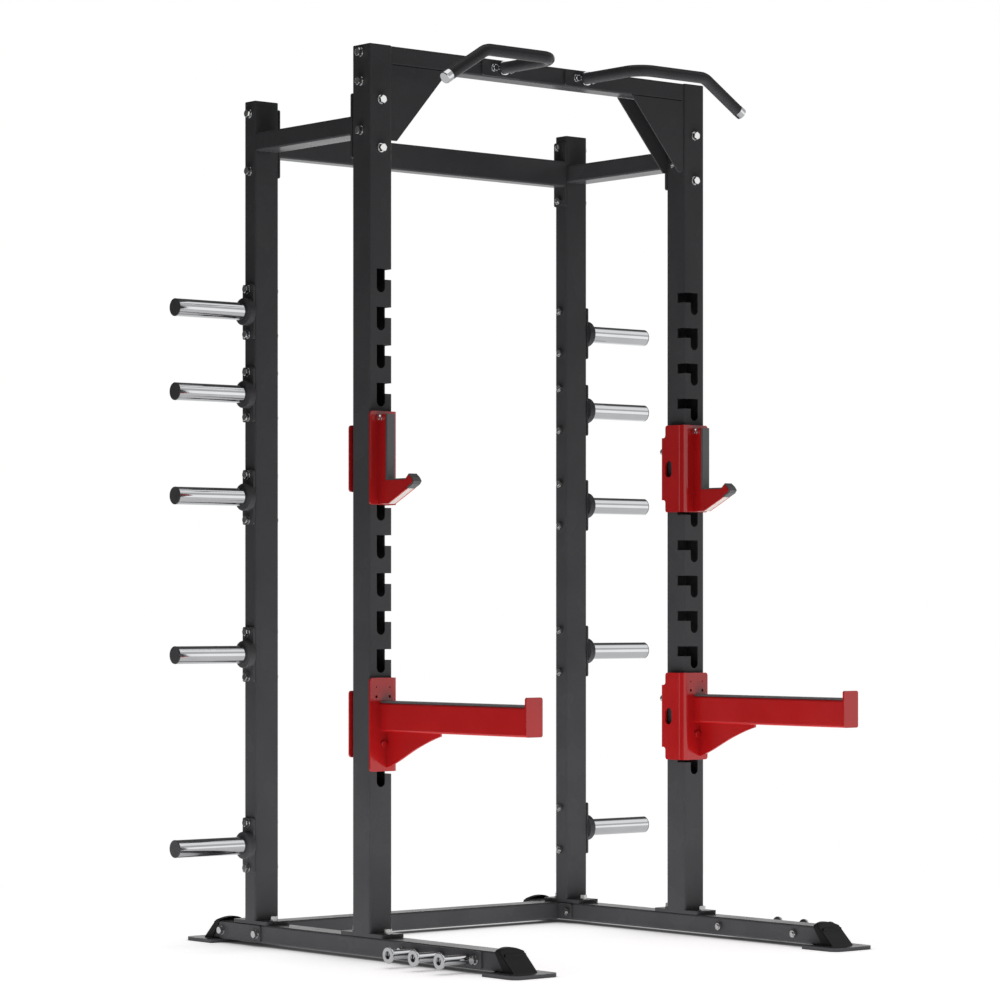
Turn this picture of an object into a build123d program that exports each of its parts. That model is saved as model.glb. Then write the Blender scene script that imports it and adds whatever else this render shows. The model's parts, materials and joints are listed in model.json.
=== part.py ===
from build123d import *
import os
from math import atan2, cos, radians, sin

# Power cage: a bolted tube frame with slotted front uprights, plate horns on the rear uprights,
# two pull-up grips, two J-hooks and two spotter arms that hang in the slots.
# Millimetres. X runs to the right, Y to the rear, Z up; the origin is on the floor under the middle.

# Frame layout
base_depth = 1422.0
foot_setback = 632.0
rear_setback = 260.0
upright_spacing = 1127.0
front_height = 2405.5
rear_height = 2309.0

# Tubes
tube_wall = 3.0
tube_corner = 6.0
front_tube = 75.0
rear_tube_wide = 80.0
rear_tube_deep = 50.0
rail_wide = 75.0
rail_tall = 50.0

# Feet and rail ends
foot_thick = 10.0
foot_wide = 150.0
foot_long = 127.0
foot_corner = 24.0
rail_end_inset = 84.0
rail_end_slant = 35.0
rail_cap_lip = 3.0
rail_cap_low = 40.0
rail_cap_high = 22.0
rail_cap_rise = 11.0
rail_cap_round = 4.0
rail_cap_plug = 6.0

# Base flanges under the uprights, and the caps on top of them
flange_thick = 10.0
flange_overhang = 51.0
flange_bolt_out = 30.0
flange_corner = 4.0
cap_lip = 3.0
cap_round = 2.0
cap_plug = 9.0
plug_clearance = 0.4

# Bottom rear crossmember
low_cross_behind = 45.0
low_plate_thick = 6.0
backing_thick = 5.0
low_plate_long = 190.0
low_plate_tall = 46.0
low_bolt_spacing = 160.0
plate_corner = 6.0

# Band pegs on the rails
peg_plate_setback = 340.5
peg_plate_long = 343.0
peg_plate_tall = 46.0
peg_plate_thick = 5.0
peg_bolt_spacing = 295.0
peg_spacing = 103.5
peg_lead = 13.2
peg_tip = 94.0
peg_diameter = 25.0
peg_flange_diameter = 43.0
peg_flange_thick = 6.0
peg_flange_round = 1.8
peg_recess = 21.0
peg_recess_deep = 12.0
peg_screw = 10.0
peg_screw_head = 16.0
peg_screw_head_tall = 5.0
peg_socket = 8.0

# Top of the cage
top_cross_deep = 65.0
top_cross_tall = 50.0
top_plate_thick = 5.0
top_plate_tall = 249.5
gusset_thick = 4.0
gusset_reach = 189.0
gusset_foot = 15.0
top_bolt_drops = (20.5, 97.0, 225.5)
side_rail_z = 2196.5
side_plate_thick = 7.5
side_plate_tall = 171.0
side_bolt_spacing = 126.8
rear_cross_tall = 75.0
rear_plate_thick = 5.0
rear_plate_tall = 187.5
rear_bolt_spacing = 157.0

# Pull-up grips
grip_diameter = 32.0
grip_x = 148.0
grip_drop = 23.5
grip_forward = 225.0
grip_out = 390.0
grip_end_out = 532.0
grip_end_drop = 88.5
grip_bend = 50.0
grip_cap_long = 20.0
grip_cap_extra = 0.6
grip_cap_round = 3.0
grip_plate_wide = 138.0
grip_plate_tall = 44.0
grip_plate_thick = 6.0
grip_bolt_spacing = 60.0
grip_collar_diameter = 38.0
grip_collar_long = 12.0

# Plate horns
horn_heights = (275.5, 797.0, 1226.5, 1507.0, 1733.0)
horn_diameter = 48.3
horn_wall = 3.2
horn_tip = 853.0
horn_plate_wide = 50.0
horn_plate_tall = 150.0
horn_plate_thick = 6.0
horn_bolt_spacing = 123.0
horn_collar_diameter = 75.0
horn_collar_long = 19.0
horn_collar_round = 3.0
horn_cap_lip = 3.0
horn_cap_round = 1.2

# Slots in the front uprights
slot_count = 14
slot_pitch = 100.0
slot_top = 1815.5
slot_wide = 28.0
slot_entry_tall = 28.0
slot_tall = 62.0
slot_side_deep = 31.0

# Brackets of the J-hooks and spotter arms
bracket_thick = 6.0
bracket_gap = 3.5
bracket_side_gap = 8.4
bracket_bend = 15.0
bracket_rear_bend = 5.0
bracket_past = 5.0
bracket_tall = 246.0
bracket_above_stud = 173.5
bracket_tab_tall = 176.0
bracket_web_deep = 65.0
bracket_corner = 8.0
web_hole_wide = 27.0
web_hole_tall = 47.5
web_hole_deep = 52.2
stud_diameter = 27.0
stud_rest = 0.3
stud_long = 22.0
stud_chamfer = 1.5
rivet_head = 19.0
rivet_head_tall = 16.0
rivet_shank = 8.0
rivet_inward = 36.0

# J-hook
slot_count_above_hook = 5
hook_wide = 27.0
hook_shift = 2.2
hook_plate = 4.0
hook_foot_drop = 70.3
hook_foot_deep = 40.0
hook_under_slope = 25.2
hook_under_long = 108.0
hook_back_deep = 29.0
hook_top_rise = 164.7
hook_seat_drop = 9.2
hook_seat_end = 113.0
nose_corners = ((126.2, 2.6), (139.0, -8.2), (142.0, -14.0))
liner_inset = 1.0
liner_back = 7.2
liner_seat = 3.6
liner_under = 4.5
liner_under_long = 20.0
liner_corners = ((126.4, 6.6), (141.5, -4.2), (148.7, -14.0))
liner_round = 2.0
hook_bolt = 8.0
hook_bolt_in = 9.5
hook_bolt_down = 9.0

# Spotter arm
slot_count_above_arm = 12
arm_wide = 50.0
arm_tall = 75.0
arm_shift = 13.0
arm_rise = 32.7
arm_long = 589.5
arm_plate_wide = 54.0
arm_plate_tall = 100.0
arm_plate_thick = 6.0
arm_strip_wide = 44.0
arm_strip_thick = 5.0
arm_strip_corner = 0.5
arm_gusset_thick = 6.0
arm_gusset_shift = 14.0
arm_gusset_reach = 223.5
arm_gusset_tip = 8.3
arm_gusset_drop = 95.0
arm_gusset_curve = ((44.5, 79.5), (112.0, 48.0), (135.5, 38.0))
arm_bolt = 10.0
arm_hole = 8.0
arm_hole_rise = 124.1
arm_hole_spacing = 44.6
arm_pin_hole = 4.0
arm_pin_rise = 149.0

# Fasteners
frame_bolt = 12.0
grip_bolt = 10.0
bolt_clearance = 0.5
washer_factor = 2.0
washer_thick = 2.5
flats_factor = 1.6
head_factor = 0.65
nut_factor = 0.85
thread_clearance = 0.15
bolt_point = 3.0

# Places that follow from the sizes above
front_face = foot_setback - base_depth / 2
front_y = front_face + front_tube / 2
rear_y = base_depth / 2 - rear_setback
low_cross_y = rear_y + low_cross_behind
peg_plate_y = peg_plate_setback - base_depth / 2
side_x = upright_spacing / 2
rail_top = foot_thick + rail_tall
rail_mid = foot_thick + rail_tall / 2
upright_foot = rail_top + flange_thick
rail_half = base_depth / 2 - rail_end_inset
rail_outside = side_x + rail_wide / 2
rail_inside = side_x - rail_wide / 2
top_cross_z = front_height - top_cross_tall / 2
top_cross_front = front_y - top_cross_deep / 2
top_inside = side_x - front_tube / 2 - top_plate_thick
rear_inside = side_x - rear_tube_wide / 2
rear_outside = side_x + rear_tube_wide / 2
grip_z = front_height - grip_drop
slot_tops = [slot_top - slot_pitch * step for step in range(slot_count)]
frame_hole = frame_bolt / 2 + bolt_clearance
sides = (("left", -1), ("right", 1))

os.makedirs("parts", exist_ok=True)


def keep(piece, name):
    """Label a finished piece and write it."""
    piece.part.label = name
    export_step(piece.part, f"parts/{name}.step")


def along_x(x, y, z, way=1):
    """Plane at a point, facing along X; its own x runs along Y."""
    return Plane(origin=(x, y, z), x_dir=(0, 1, 0), z_dir=(way, 0, 0))


def along_y(x, y, z, way=1):
    """Plane at a point, facing along Y; its own x runs along X."""
    return Plane(origin=(x, y, z), x_dir=(1, 0, 0), z_dir=(0, way, 0))


def along_z(x, y, z, way=1):
    """Plane at a point, facing along Z; its own x runs along X."""
    return Plane(origin=(x, y, z), x_dir=(1, 0, 0), z_dir=(0, 0, way))


def box_tube(plane, wide, tall, length):
    """Rectangular tube with round corners, running from the plane."""
    with BuildPart() as tube:
        with BuildSketch(plane):
            RectangleRounded(wide, tall, tube_corner)
            RectangleRounded(
                wide - 2 * tube_wall,
                tall - 2 * tube_wall,
                tube_corner - tube_wall,
                mode=Mode.SUBTRACT,
            )
        extrude(amount=length)
    return tube.part


def flat_plate(plane, wide, tall, thick, holes=(), hole=frame_hole, corner=plate_corner):
    """Plate standing on the plane, with round corners and bolt holes at the given places."""
    with BuildPart() as plate:
        with BuildSketch(plane):
            RectangleRounded(wide, tall, corner)
            if holes:
                with Locations(*holes):
                    Circle(hole, mode=Mode.SUBTRACT)
        extrude(amount=thick)
    return plate.part


def hex_bolt(size, grip):
    """Hex bolt on its seat: washer and head above, shank down through the grip, nut below."""
    flats = size * flats_factor / 2
    nut_tall = size * nut_factor
    with BuildPart() as bolt:
        with BuildSketch(Plane.XY):
            Circle(size * washer_factor / 2)
        extrude(amount=washer_thick)
        with BuildSketch(Plane.XY.offset(washer_thick)):
            RegularPolygon(flats, 6, major_radius=False)
        extrude(amount=size * head_factor)
        with BuildSketch(Plane.XY):
            Circle(size / 2)
        extrude(amount=-grip - nut_tall - bolt_point)
        with BuildSketch(Plane.XY.offset(-grip)):
            RegularPolygon(flats, 6, major_radius=False)
            Circle(size / 2 + thread_clearance, mode=Mode.SUBTRACT)
        extrude(amount=-nut_tall)
    return bolt.part


# Base rails
def rail_end(x, end):
    """Slanted plane of a rail end, facing outwards; end is -1 at the front and 1 at the rear."""
    return Plane(
        origin=(x, end * (rail_half - rail_end_slant / 2), rail_mid),
        x_dir=(-end, 0, 0),
        z_dir=(0, end * rail_tall, rail_end_slant),
    )


upright_places = ((front_y, front_tube, front_tube), (rear_y, rear_tube_wide, rear_tube_deep))
low_bolt_ys = [low_cross_y - low_bolt_spacing / 2, low_cross_y + low_bolt_spacing / 2]
peg_bolt_ys = [peg_plate_y - peg_bolt_spacing / 2, peg_plate_y + peg_bolt_spacing / 2]
peg_ys = [peg_plate_y - peg_lead + peg_spacing * step for step in (-1, 0, 1)]
flange_bolt_ys = []
for y, wide, deep in upright_places:
    flange_bolt_ys.append(y - deep / 2 - flange_bolt_out)
    flange_bolt_ys.append(y + deep / 2 + flange_bolt_out)

for side, hand in sides:
    x = hand * side_x
    with BuildPart() as base_rail:
        add(box_tube(along_y(x, -rail_half, rail_mid), rail_wide, rail_tall, 2 * rail_half))
        for end in (-1, 1):
            split(bisect_by=rail_end(x, end), keep=Keep.BOTTOM)
        with Locations(*[along_x(x, y, rail_mid) for y in low_bolt_ys + peg_bolt_ys]):
            Cylinder(frame_hole, 2 * rail_wide, mode=Mode.SUBTRACT)
        with Locations(*[along_x(hand * rail_outside, y, rail_mid) for y in peg_ys]):
            Cylinder(peg_screw / 2 + bolt_clearance, 4 * tube_wall, mode=Mode.SUBTRACT)
        with Locations(*[(x, y, rail_top) for y in flange_bolt_ys]):
            Cylinder(frame_hole, 4 * tube_wall, mode=Mode.SUBTRACT)
    keep(base_rail, f"base_rail_{side}")

# Foot plates under the rail ends
with BuildPart() as foot_plates:
    for side, hand in sides:
        for end in (-1, 1):
            with BuildSketch(Plane.XY) as foot:
                with Locations((hand * side_x, end * (base_depth - foot_long) / 2)):
                    Rectangle(foot_wide, foot_long)
                outer = 0 if end < 0 else -1
                fillet(foot.vertices().group_by(Axis.Y)[outer], foot_corner)
            extrude(amount=foot_thick)
keep(foot_plates, "foot_plates")

# Domed caps that plug the slanted rail ends
def rail_cap(x, end):
    """End cap: a wedge with an arched top on the slanted end, and a plug inside the tube."""
    half = rail_wide / 2 + rail_cap_lip
    crown = rail_top + rail_cap_rise
    lean = rail_end_slant / rail_tall
    front_lean = (rail_end_slant + rail_cap_low - rail_cap_high) / rail_tall
    back = rail_half - lean * (rail_tall + rail_cap_rise)
    front = rail_half + rail_cap_low - front_lean * (rail_tall + rail_cap_rise)
    with BuildPart() as cap:
        with BuildSketch(along_x(x, 0, 0)):
            Polygon(
                (end * rail_half, foot_thick),
                (end * (rail_half + rail_cap_low), foot_thick),
                (end * front, crown),
                (end * back, crown),
                align=None,
            )
        extrude(amount=half, both=True)
        with BuildSketch(along_y(x, 0, 0, -1)):
            with BuildLine():
                Polyline((-half, rail_top), (-half, foot_thick), (half, foot_thick), (half, rail_top))
                ThreePointArc((half, rail_top), (0, crown), (-half, rail_top))
            make_face()
        extrude(amount=-end * base_depth, mode=Mode.INTERSECT)
        rim = cap.faces().filter_by(lambda face: end * face.normal_at().Y > 0.5)
        upper = rim.edges().filter_by(lambda edge: edge.center().Z > foot_thick + rail_cap_lip)
        fillet(upper, rail_cap_round)
        with BuildSketch(along_y(x, end * rail_half, rail_mid, -end)):
            RectangleRounded(
                rail_wide - 2 * (tube_wall + plug_clearance),
                rail_tall - 2 * (tube_wall + plug_clearance),
                tube_corner - tube_wall,
            )
        extrude(amount=rail_end_slant + rail_cap_plug)
    return cap.part


with BuildPart() as rail_end_caps:
    for side, hand in sides:
        for end in (-1, 1):
            add(rail_cap(hand * side_x, end))
keep(rail_end_caps, "rail_end_caps")

# Bottom rear crossmember, its end plates and the backing plates outside the rails
low_half = rail_inside - low_plate_thick
with BuildPart() as rear_bottom_crossmember:
    add(box_tube(along_x(-low_half, low_cross_y, rail_mid), rail_wide, rail_tall, 2 * low_half))
keep(rear_bottom_crossmember, "rear_bottom_crossmember")

low_holes = ((-low_bolt_spacing / 2, 0), (low_bolt_spacing / 2, 0))
with BuildPart() as bottom_crossmember_end_plates:
    for side, hand in sides:
        seat = along_x(hand * rail_inside, low_cross_y, rail_mid, -hand)
        add(flat_plate(seat, low_plate_long, low_plate_tall, low_plate_thick, low_holes))
keep(bottom_crossmember_end_plates, "bottom_crossmember_end_plates")

with BuildPart() as bottom_backing_plates:
    for side, hand in sides:
        seat = along_x(hand * rail_outside, low_cross_y, rail_mid, hand)
        add(flat_plate(seat, low_plate_long, low_plate_tall, backing_thick, low_holes))
keep(bottom_backing_plates, "bottom_backing_plates")

# Band peg plates, pegs and their socket screws
with BuildPart() as band_peg_plates:
    for side, hand in sides:
        seat = along_x(hand * rail_outside, peg_plate_y, rail_mid, hand)
        holes = [(y - peg_plate_y, 0) for y in peg_bolt_ys + peg_ys]
        add(flat_plate(seat, peg_plate_long, peg_plate_tall, peg_plate_thick, holes))
keep(band_peg_plates, "band_peg_plates")

peg_seats = []
for side, hand in sides:
    for y in peg_ys:
        peg_seats.append(along_x(hand * (rail_outside + peg_plate_thick), y, rail_mid, hand))

with BuildPart() as peg:
    Cylinder(peg_diameter / 2, peg_tip, align=(Align.CENTER, Align.CENTER, Align.MIN))
    with Locations((0, 0, peg_tip - peg_flange_thick)):
        Cylinder(peg_flange_diameter / 2, peg_flange_thick, align=(Align.CENTER, Align.CENTER, Align.MIN))
    with Locations((0, 0, peg_tip)):
        CounterBoreHole(peg_screw / 2 + bolt_clearance, peg_recess / 2, peg_recess_deep)
    fillet(peg.edges().filter_by(GeomType.CIRCLE).group_by(SortBy.RADIUS)[-1], peg_flange_round)
with BuildPart() as band_pegs:
    with Locations(*peg_seats):
        add(peg.part)
keep(band_pegs, "band_pegs")

screw_seat = peg_tip - peg_recess_deep
with BuildPart() as peg_screw_piece:
    with BuildSketch(Plane.XY.offset(screw_seat)):
        Circle(peg_screw_head / 2)
    extrude(amount=peg_screw_head_tall)
    with BuildSketch(Plane.XY.offset(screw_seat + peg_screw_head_tall)):
        RegularPolygon(peg_socket / 2, 6, major_radius=False)
    extrude(amount=-peg_screw_head_tall / 2, mode=Mode.SUBTRACT)
    with BuildSketch(Plane.XY.offset(screw_seat)):
        Circle(peg_screw / 2)
    extrude(amount=-screw_seat - peg_plate_thick - 3 * tube_wall)
with BuildPart() as band_peg_screws:
    with Locations(*peg_seats):
        add(peg_screw_piece.part)
keep(band_peg_screws, "band_peg_screws")

# Front uprights with their ladders of L-shaped slots
top_bolt_zs = [front_height - drop for drop in top_bolt_drops]
side_bolt_zs = [side_rail_z + side_bolt_spacing / 2, side_rail_z - side_bolt_spacing / 2]
for side, hand in sides:
    x = hand * side_x
    tube_long = front_height - cap_lip - upright_foot
    with BuildPart() as front_upright:
        add(box_tube(along_z(x, front_y, upright_foot), front_tube, front_tube, tube_long))
        with BuildSketch(along_y(x, front_face, 0, -1)):
            for top in slot_tops:
                with Locations((0, top - (slot_tall - slot_wide / 2) / 2)):
                    Rectangle(slot_wide, slot_tall - slot_wide / 2)
                with Locations((0, top - slot_tall + slot_wide / 2)):
                    Circle(slot_wide / 2)
        extrude(amount=-2 * tube_wall, mode=Mode.SUBTRACT)
        entries = [(x - hand * front_tube / 2, front_face, top - slot_entry_tall / 2) for top in slot_tops]
        with Locations(*entries):
            Box(front_tube, 2 * slot_side_deep, slot_entry_tall, mode=Mode.SUBTRACT)
        with Locations(*[along_x(x, front_y, z) for z in top_bolt_zs]):
            Cylinder(frame_hole, 2 * front_tube, mode=Mode.SUBTRACT)
        with Locations(*[along_y(x, front_y, z) for z in side_bolt_zs]):
            Cylinder(frame_hole, 2 * front_tube, mode=Mode.SUBTRACT)
    keep(front_upright, f"front_upright_{side}")

# Rear uprights
horn_bolt_zs = []
for height in horn_heights:
    horn_bolt_zs.append(height - horn_bolt_spacing / 2)
    horn_bolt_zs.append(height + horn_bolt_spacing / 2)
rear_bolt_zs = [side_rail_z - rear_bolt_spacing / 2, side_rail_z + rear_bolt_spacing / 2]
for side, hand in sides:
    x = hand * side_x
    tube_long = rear_height - cap_lip - upright_foot
    with BuildPart() as rear_upright:
        add(box_tube(along_z(x, rear_y, upright_foot), rear_tube_wide, rear_tube_deep, tube_long))
        with Locations(*[along_x(x, rear_y, z) for z in horn_bolt_zs + rear_bolt_zs]):
            Cylinder(frame_hole, 2 * rear_tube_wide, mode=Mode.SUBTRACT)
    keep(rear_upright, f"rear_upright_{side}")

# Base flanges and caps of the uprights
with BuildPart() as upright_base_flanges:
    for side, hand in sides:
        for y, wide, deep in upright_places:
            reach = deep / 2 + flange_bolt_out
            long = deep + 2 * flange_overhang
            seat = along_z(hand * side_x, y, rail_top)
            holes = ((0, -reach), (0, reach))
            add(flat_plate(seat, wide, long, flange_thick, holes, corner=flange_corner))
keep(upright_base_flanges, "upright_base_flanges")

with BuildPart() as upright_caps:
    for side, hand in sides:
        for place, top in zip(upright_places, (front_height, rear_height)):
            y, wide, deep = place
            inset = 2 * (tube_wall + plug_clearance)
            with BuildSketch(along_z(hand * side_x, y, top - cap_lip)):
                RectangleRounded(wide, deep, tube_corner)
            extrude(amount=cap_lip)
            with BuildSketch(along_z(hand * side_x, y, top - cap_lip)):
                RectangleRounded(wide - inset, deep - inset, tube_corner - tube_wall)
            extrude(amount=-cap_plug)
    tops = upright_caps.faces().filter_by(lambda face: face.normal_at().Z > 0.5)
    fillet(tops.edges(), cap_round)
keep(upright_caps, "upright_caps")

# Top front crossmember, its end plates and gussets
grip_bolt_xs = [grip_x - grip_bolt_spacing / 2, grip_x + grip_bolt_spacing / 2]
with BuildPart() as top_front_crossmember:
    start = along_x(-top_inside, front_y, top_cross_z)
    add(box_tube(start, top_cross_deep, top_cross_tall, 2 * top_inside))
    for side, hand in sides:
        with Locations(*[along_y(hand * x, front_y, top_cross_z) for x in grip_bolt_xs]):
            Cylinder(grip_bolt / 2 + bolt_clearance, 2 * top_cross_deep, mode=Mode.SUBTRACT)
keep(top_front_crossmember, "top_front_crossmember")

with BuildPart() as top_front_end_plates:
    for side, hand in sides:
        mid = front_height - top_plate_tall / 2
        seat = along_x(hand * (side_x - front_tube / 2), front_y, mid)
        holes = [(0, z - mid) for z in top_bolt_zs]
        add(flat_plate(seat, top_cross_deep, top_plate_tall, -hand * top_plate_thick, holes))
keep(top_front_end_plates, "top_front_end_plates")

gusset_top = front_height - top_cross_tall
gusset_low = front_height - top_plate_tall
for side, hand in sides:
    with BuildPart() as top_gusset:
        for y in (top_cross_front, top_cross_front + top_cross_deep - gusset_thick):
            with BuildSketch(along_y(0, y, 0, -1)):
                Polygon(
                    (hand * top_inside, gusset_low),
                    (hand * (top_inside - gusset_foot), gusset_low),
                    (hand * (top_inside - gusset_reach), gusset_top),
                    (hand * top_inside, gusset_top),
                    align=None,
                )
            extrude(amount=-gusset_thick)
    keep(top_gusset, f"top_gusset_{side}")

# Top side rails and their front end plates
side_rail_front = front_face + front_tube + side_plate_thick
side_rail_long = rear_y - rear_tube_deep / 2 - side_rail_front
for side, hand in sides:
    with BuildPart() as top_side_rail:
        start = along_y(hand * side_x, side_rail_front, side_rail_z)
        add(box_tube(start, rail_wide, rail_tall, side_rail_long))
    keep(top_side_rail, f"top_side_rail_{side}")

with BuildPart() as side_rail_end_plates:
    for side, hand in sides:
        seat = along_y(hand * side_x, front_face + front_tube, side_rail_z)
        holes = ((0, -side_bolt_spacing / 2), (0, side_bolt_spacing / 2))
        add(flat_plate(seat, front_tube, side_plate_tall, side_plate_thick, holes))
keep(side_rail_end_plates, "side_rail_end_plates")

# Rear top crossmember and its end plates
rear_half = rear_inside - rear_plate_thick
with BuildPart() as rear_top_crossmember:
    add(box_tube(along_x(-rear_half, rear_y, side_rail_z), rear_tube_deep, rear_cross_tall, 2 * rear_half))
keep(rear_top_crossmember, "rear_top_crossmember")

with BuildPart() as rear_top_end_plates:
    for side, hand in sides:
        seat = along_x(hand * rear_inside, rear_y, side_rail_z, -hand)
        holes = ((0, -rear_bolt_spacing / 2), (0, rear_bolt_spacing / 2))
        add(flat_plate(seat, rear_tube_deep, rear_plate_tall, rear_plate_thick, holes))
keep(rear_top_end_plates, "rear_top_end_plates")

# Pull-up grips
grip_seat = top_cross_front - grip_plate_thick
grip_slope = atan2(grip_end_drop, grip_end_out - grip_out)
for side, hand in sides:
    cap_run = grip_cap_long * cos(grip_slope)
    cap_drop = grip_cap_long * sin(grip_slope)
    front = front_face - grip_forward
    with BuildPart() as pull_up_grip:
        with BuildLine() as path:
            FilletPolyline(
                (hand * grip_x, grip_seat, grip_z),
                (hand * grip_x, front, grip_z),
                (hand * grip_out, front, grip_z),
                (hand * (grip_end_out - cap_run), front, grip_z - grip_end_drop + cap_drop),
                radius=grip_bend,
            )
        with BuildSketch(along_y(hand * grip_x, grip_seat, grip_z, -1)):
            Circle(grip_diameter / 2)
        sweep()
    keep(pull_up_grip, f"pull_up_grip_{side}")

with BuildPart() as grip_end_caps:
    for side, hand in sides:
        outward = (hand * cos(grip_slope), 0, -sin(grip_slope))
        end = (
            hand * (grip_end_out - grip_cap_long * cos(grip_slope)),
            front_face - grip_forward,
            grip_z - grip_end_drop + grip_cap_long * sin(grip_slope),
        )
        with BuildSketch(Plane(origin=end, x_dir=(0, 1, 0), z_dir=outward)):
            Circle(grip_diameter / 2 + grip_cap_extra)
        extrude(amount=grip_cap_long)
    tips = grip_end_caps.faces().filter_by(GeomType.PLANE).sort_by(Axis.Z)[:2]
    fillet(tips.edges(), grip_cap_round)
keep(grip_end_caps, "grip_end_caps")

with BuildPart() as grip_mount_plates:
    for side, hand in sides:
        seat = along_y(hand * grip_x, top_cross_front, top_cross_z, -1)
        holes = ((-grip_bolt_spacing / 2, 0), (grip_bolt_spacing / 2, 0))
        hole = grip_bolt / 2 + bolt_clearance
        add(flat_plate(seat, grip_plate_wide, grip_plate_tall, grip_plate_thick, holes, hole))
keep(grip_mount_plates, "grip_mount_plates")

with BuildPart() as grip_collars:
    for side, hand in sides:
        with BuildSketch(along_y(hand * grip_x, grip_seat, grip_z, -1)):
            Circle(grip_collar_diameter / 2)
            Circle(grip_diameter / 2 + plug_clearance, mode=Mode.SUBTRACT)
        extrude(amount=grip_collar_long)
keep(grip_collars, "grip_collars")

# Plate horns: mount plates, collars, tubes and end caps
horn_seats = []
for side, hand in sides:
    for z in horn_heights:
        horn_seats.append(along_x(hand * rear_outside, rear_y, z, hand))
horn_holes = ((0, -horn_bolt_spacing / 2), (0, horn_bolt_spacing / 2))
horn_root = rear_outside + horn_plate_thick + horn_collar_long

with BuildPart() as horn_plates:
    for seat in horn_seats:
        add(flat_plate(seat, horn_plate_wide, horn_plate_tall, horn_plate_thick, horn_holes))
keep(horn_plates, "horn_plates")

with BuildPart() as horn_collars:
    for seat in horn_seats:
        with BuildSketch(seat.offset(horn_plate_thick)):
            Circle(horn_collar_diameter / 2)
        extrude(amount=horn_collar_long)
    outer = horn_root - horn_collar_round
    fillet(horn_collars.edges().filter_by(lambda edge: abs(edge.center().X) > outer), horn_collar_round)
keep(horn_collars, "horn_collars")

horn_long = horn_tip - horn_cap_lip - horn_root
for side, hand in sides:
    with BuildPart() as plate_horns:
        for z in horn_heights:
            with BuildSketch(along_x(hand * horn_root, rear_y, z, hand)):
                Circle(horn_diameter / 2)
                Circle(horn_diameter / 2 - horn_wall, mode=Mode.SUBTRACT)
            extrude(amount=horn_long)
    keep(plate_horns, f"plate_horns_{side}")

with BuildPart() as horn_end_caps:
    for side, hand in sides:
        for z in horn_heights:
            with BuildSketch(along_x(hand * (horn_tip - horn_cap_lip), rear_y, z, hand)):
                Circle(horn_diameter / 2)
            extrude(amount=horn_cap_lip)
            with BuildSketch(along_x(hand * (horn_tip - horn_cap_lip), rear_y, z, hand)):
                Circle(horn_diameter / 2 - horn_wall - plug_clearance)
            extrude(amount=-cap_plug)
    outer = horn_tip - horn_cap_round
    fillet(horn_end_caps.edges().filter_by(lambda edge: abs(edge.center().X) > outer), horn_cap_round)
keep(horn_end_caps, "horn_end_caps")

# Brackets, studs and rivets shared by the J-hooks and the spotter arms
flange_out = front_tube / 2 + bracket_past
flange_front = front_face - bracket_gap - bracket_thick
web_in = front_tube / 2 + bracket_side_gap + bracket_thick / 2
wrap_front = front_face - bracket_gap - bracket_thick / 2
wrap_rear = front_face + front_tube + bracket_gap + bracket_thick / 2
rear_flange_face = wrap_rear + bracket_thick / 2


def stud_height(slots_above):
    """Height of a stud that rests in the slot with so many slots above it."""
    return slot_tops[slots_above] - slot_tall + stud_diameter / 2 + stud_rest


def bracket(hand, low):
    """C-shaped bracket around a front upright; low is the height of its lower stud."""
    x = hand * side_x
    top = low + bracket_above_stud
    bottom = top - bracket_tall
    middle = (top + bottom) / 2
    step = (bracket_tall - bracket_tab_tall) / 2
    web_end = front_face + bracket_web_deep
    far = rear_flange_face + bracket_past
    near = flange_front - bracket_past
    with BuildPart() as sheet:
        with BuildSketch(Plane.XY.offset(bottom)):
            with BuildLine():
                FilletPolyline(
                    (x + hand * flange_out, wrap_front),
                    (x - hand * web_in, wrap_front),
                    (x - hand * web_in, wrap_rear),
                    (x + hand * flange_out, wrap_rear),
                    radius=(bracket_bend, bracket_rear_bend),
                )
            trace(line_width=bracket_thick)
        extrude(amount=bracket_tall)
        with BuildSketch(along_x(x, 0, 0)) as outline:
            Polygon(
                (near, bottom),
                (web_end, bottom),
                (web_end, bottom + step),
                (far, bottom + step),
                (far, top - step),
                (web_end, top - step),
                (web_end, top),
                (near, top),
                align=None,
            )
            fillet(outline.vertices().group_by(Axis.X)[1], bracket_corner)
            with Locations((front_face + web_hole_deep, middle)):
                SlotOverall(web_hole_tall, web_hole_wide, rotation=90, mode=Mode.SUBTRACT)
        extrude(amount=front_tube, both=True, mode=Mode.INTERSECT)
        corners = sheet.edges().filter_by(Axis.Y).group_by(Axis.X)[-1 if hand > 0 else 0]
        fillet(corners, bracket_corner)
        with Locations(along_y(x - hand * rivet_inward, wrap_rear, low + slot_pitch)):
            Cylinder(rivet_shank / 2 + thread_clearance, 2 * bracket_thick, mode=Mode.SUBTRACT)
    return sheet.part


def stud(hand, height):
    """Stud that hangs in a slot."""
    with BuildPart() as pin:
        with BuildSketch(along_y(hand * side_x, front_face - bracket_gap, height)):
            Circle(stud_diameter / 2)
        extrude(amount=stud_long)
        chamfer(pin.faces().sort_by(Axis.Y)[-1].edges(), stud_chamfer)
    return pin.part


def rivet(hand, height):
    """Dome-headed rivet in the rear flange of a bracket."""
    with BuildPart() as dome:
        with BuildSketch(along_y(hand * (side_x - rivet_inward), rear_flange_face, height)):
            Circle(rivet_head / 2)
        extrude(amount=rivet_head_tall)
        fillet(dome.faces().sort_by(Axis.Y)[-1].edges(), rivet_head_tall / 2)
        with BuildSketch(along_y(hand * (side_x - rivet_inward), rear_flange_face, height)):
            Circle(rivet_shank / 2)
        extrude(amount=-bracket_thick)
    return dome.part


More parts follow.
